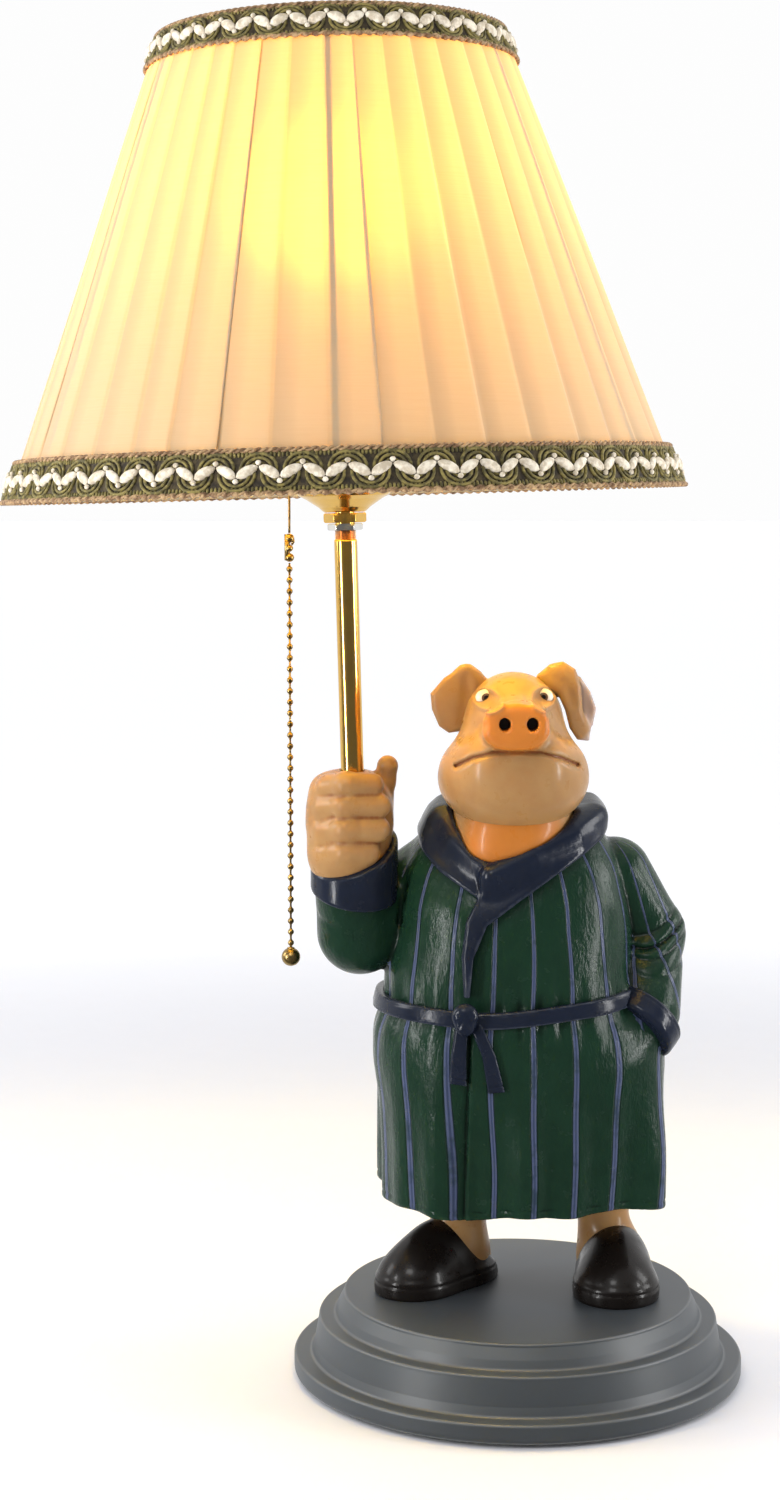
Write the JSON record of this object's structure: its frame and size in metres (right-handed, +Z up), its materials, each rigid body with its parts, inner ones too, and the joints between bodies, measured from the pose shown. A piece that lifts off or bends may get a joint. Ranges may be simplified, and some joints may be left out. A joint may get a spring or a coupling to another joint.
{
  "type": "figural table lamp",
  "caption": "Table lamp: a standing robed pig on a stepped round plinth grips a brass stem with a pull-chain lampholder and a pleated fabric shade.",
  "frame": {"origin": "centre of the plinth's felt underside, on the table", "axes": "+Z up; the figure faces -Y; +X is to the right of someone who faces the figure's front; the stem stands to -X and leans 1.6 degrees towards -X"},
  "size_m": [0.3073, 0.279, 0.5584],
  "materials": {
    "plinth_paint": "slate grey satin paint on a cast resin plinth",
    "felt": "dark green-grey felt",
    "cover_board": "brown fibre board",
    "screw_steel": "zinc-plated steel",
    "ballast_iron": "rough cast iron",
    "grommet_rubber": "black rubber",
    "terminal_porcelain": "white glazed porcelain",
    "skin_glaze": "flesh-coloured gloss paint on cast resin",
    "robe_glaze": "dark green gloss paint with blue-violet pinstripes",
    "navy_glaze": "navy grey gloss paint with darker edges",
    "slipper_glaze": "near-black brown gloss paint",
    "stem_brass": "polished brass",
    "nut_chrome": "bright plated steel",
    "insulator_card": "dark insulating fibre",
    "holder_porcelain": "white porcelain",
    "lead_cloth": "two-core flexible lead in a gold-brown sheath",
    "bulb_cap_steel": "nickel-plated screw cap",
    "bulb_glass": "opal warm white glass",
    "shade_fabric": "cream knife-pleated translucent fabric",
    "braid": "olive braid with cream twisted gimp and tan picot edges",
    "shade_wire": "ivory-painted steel wire",
    "chain_brass": "antique brass"
  },
  "bodies": {
    "base": {"plinth": "plinth_paint", "felt_pad": "felt", "bottom_cover": "cover_board", "cover_screw_1": "screw_steel", "cover_screw_2": "screw_steel", "cover_screw_3": "screw_steel", "figure_screw_left": "screw_steel", "figure_screw_right": "screw_steel", "ballast_disc": "ballast_iron", "cord_grommet": "grommet_rubber", "terminal_block": "terminal_porcelain", "head": "skin_glaze", "neck": "skin_glaze", "ear_left": "skin_glaze", "ear_right": "skin_glaze", "raised_hand": "skin_glaze", "leg_left": "skin_glaze", "leg_right": "skin_glaze", "robe": "robe_glaze", "raised_sleeve": "robe_glaze", "pocket_sleeve": "robe_glaze", "shawl_collar": "navy_glaze", "belt": "navy_glaze", "belt_knot": "navy_glaze", "belt_end_left": "navy_glaze", "belt_end_right": "navy_glaze", "raised_cuff": "navy_glaze", "pocket_cuff": "navy_glaze", "slipper_left": "slipper_glaze", "slipper_right": "slipper_glaze", "stem_tube": "stem_brass", "collar_nut": "stem_brass", "socket_cap": "stem_brass", "socket_shell": "stem_brass", "chain_guide": "stem_brass", "lock_nut": "nut_chrome", "insulating_sleeve": "insulator_card", "socket_core": "holder_porcelain", "inner_lead": "lead_cloth"},
    "shade": {"shade_cover": "shade_fabric", "bottom_braid": "braid", "top_braid": "braid", "shade_bottom_ring": "shade_wire", "shade_top_ring": "shade_wire", "shade_fitter": "shade_wire", "shade_rib_1": "shade_wire", "shade_rib_2": "shade_wire", "shade_rib_3": "shade_wire", "shade_rib_4": "shade_wire", "shade_rib_5": "shade_wire", "shade_rib_6": "shade_wire"},
    "ring_nut": {"shade_ring_nut": "stem_brass"},
    "bulb": {"bulb_base": "bulb_cap_steel", "bulb_globe": "bulb_glass"},
    "pull_switch": {"pull_plunger": "chain_brass"},
    "chain_top": {"pull_eyelet": "chain_brass"},
    "chain": {"pull_wire": "chain_brass", "chain_coupling": "chain_brass", "bead_chain": "chain_brass", "pull_ball": "chain_brass"}
  },
  "joints": [
    {"name": "pull_switch_slide", "type": "slide", "parent": "base", "child": "pull_switch", "axis": [0.0279, 0, -0.9996], "range_m": [0, 0.006], "stiffness_N_per_m": 300, "springref_m": -0.006},
    {"name": "chain_swing_fore_aft", "type": "hinge", "parent": "pull_switch", "child": "chain_top", "pos_m": [-0.09532, -0.015, 0.38078], "axis": [1, 0, 0], "range_deg": [-25, 25]},
    {"name": "chain_swing_side", "type": "hinge", "parent": "chain_top", "child": "chain", "pos_m": [-0.09532, -0.015, 0.38078], "axis": [0, 1, 0], "range_deg": [-1.2, 30]},
    {"name": "shade_turn", "type": "hinge", "parent": "base", "child": "shade", "pos_m": [-0.07285, -0.015, 0.3715], "axis": [-0.0279, 0, 0.9996], "continuous": true},
    {"name": "ring_nut_turn", "type": "hinge", "parent": "base", "child": "ring_nut", "pos_m": [-0.07285, -0.015, 0.3715], "axis": [-0.0279, 0, 0.9996], "continuous": true},
    {"name": "bulb_turn", "type": "hinge", "parent": "base", "child": "bulb", "pos_m": [-0.07285, -0.015, 0.3715], "axis": [-0.0279, 0, 0.9996], "continuous": true}
  ]
}
